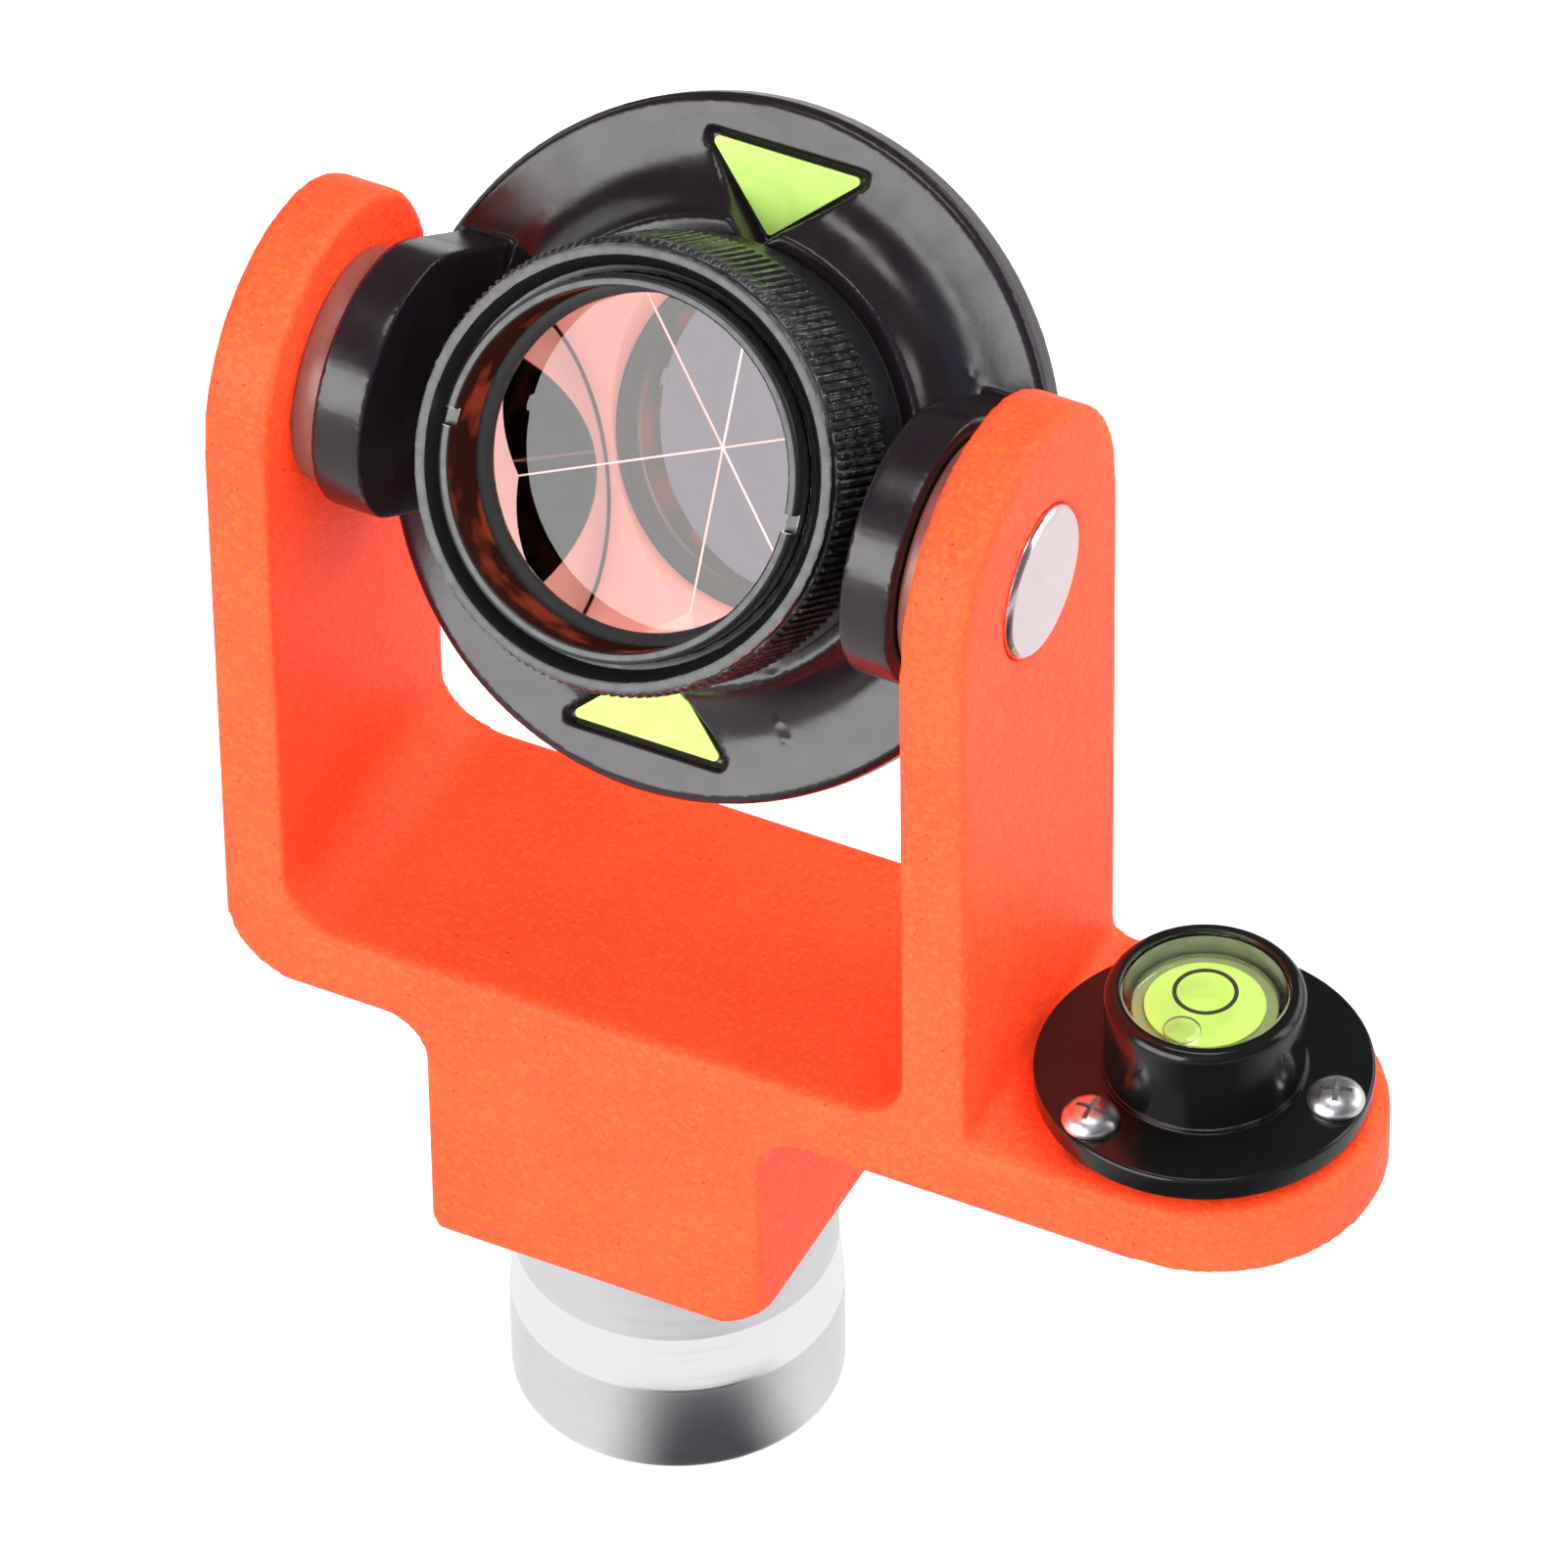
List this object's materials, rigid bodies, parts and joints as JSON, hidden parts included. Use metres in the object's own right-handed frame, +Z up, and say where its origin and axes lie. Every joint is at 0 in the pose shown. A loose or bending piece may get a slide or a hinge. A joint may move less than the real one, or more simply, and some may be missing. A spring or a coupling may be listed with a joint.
{
  "type": "tilting survey prism",
  "caption": "Corner-cube survey prism in a black target holder that tilts in an orange cast yoke, with a circular level on a side lug and a turned threaded stub.",
  "frame": {"origin": "centre of the stub's bottom face, on the axis of its threaded socket", "axes": "+Z up along the socket axis, +X towards the level's lug, -Y the side the glass faces"},
  "size_m": [0.0817, 0.0385, 0.0996],
  "materials": {
    "orange_coat": "fine textured powder coat, satin",
    "turned_aluminium": "turned, with a brighter cone",
    "steel": "plain machined",
    "black_coat": "gloss black coat on a casting",
    "black_anodised": "black anodised, satin",
    "lime_mark": "bright yellow-green, matt",
    "rubber": "matt black",
    "washer_plastic": "translucent grey-brown",
    "prism_glass": "polished, copper-toned coating on the three rear faces",
    "clear_vial": "clear",
    "level_fluid": "clear yellow-green liquid",
    "bubble_gas": "gas bubble",
    "black_ink": "printed ring",
    "white_plastic": "moulded"
  },
  "bodies": {
    "yoke_body": {"yoke": "orange_coat", "base_stub": "turned_aluminium", "stub_fixing_screw": "steel", "left_trunnion_pin": "steel", "right_trunnion_pin": "steel", "left_friction_washer": "washer_plastic", "right_friction_washer": "washer_plastic", "level_cushion_ring": "rubber", "level_housing": "black_anodised", "level_vial": "clear_vial", "level_liquid": "level_fluid", "level_bubble": "bubble_gas", "level_ring_mark": "black_ink", "level_back_disc": "lime_mark", "level_plug": "white_plastic", "level_screws": "steel"},
    "holder_body": {"target_holder": "black_coat", "upper_target_mark": "lime_mark", "lower_target_mark": "lime_mark"},
    "seal_body": {"thread_seal_ring": "rubber"},
    "canister_body": {"prism_canister": "black_anodised", "retaining_ring": "black_anodised", "spacer_ring": "black_anodised", "front_cushion_ring": "rubber", "corner_cube_glass": "prism_glass", "rear_cushion_ring": "rubber", "rear_cap": "black_anodised"}
  },
  "joints": [
    {"name": "prism_tilt", "type": "hinge", "parent": "yoke_body", "child": "holder_body", "pos_m": [0, 0, 0.0835], "axis": [1, 0, 0], "continuous": true},
    {"name": "canister_travel", "type": "slide", "parent": "holder_body", "child": "seal_body", "axis": [0, -0.8339, 0.5519], "range_m": [0, 0.005]},
    {"name": "canister_spin", "type": "hinge", "parent": "seal_body", "child": "canister_body", "pos_m": [0, 0, 0.0835], "axis": [0, -0.8339, 0.5519], "range_deg": [0, 1800]}
  ],
  "couplings": [
    {"joint": "canister_spin", "follows": "canister_travel", "rad_per_m": 6283.2}
  ]
}
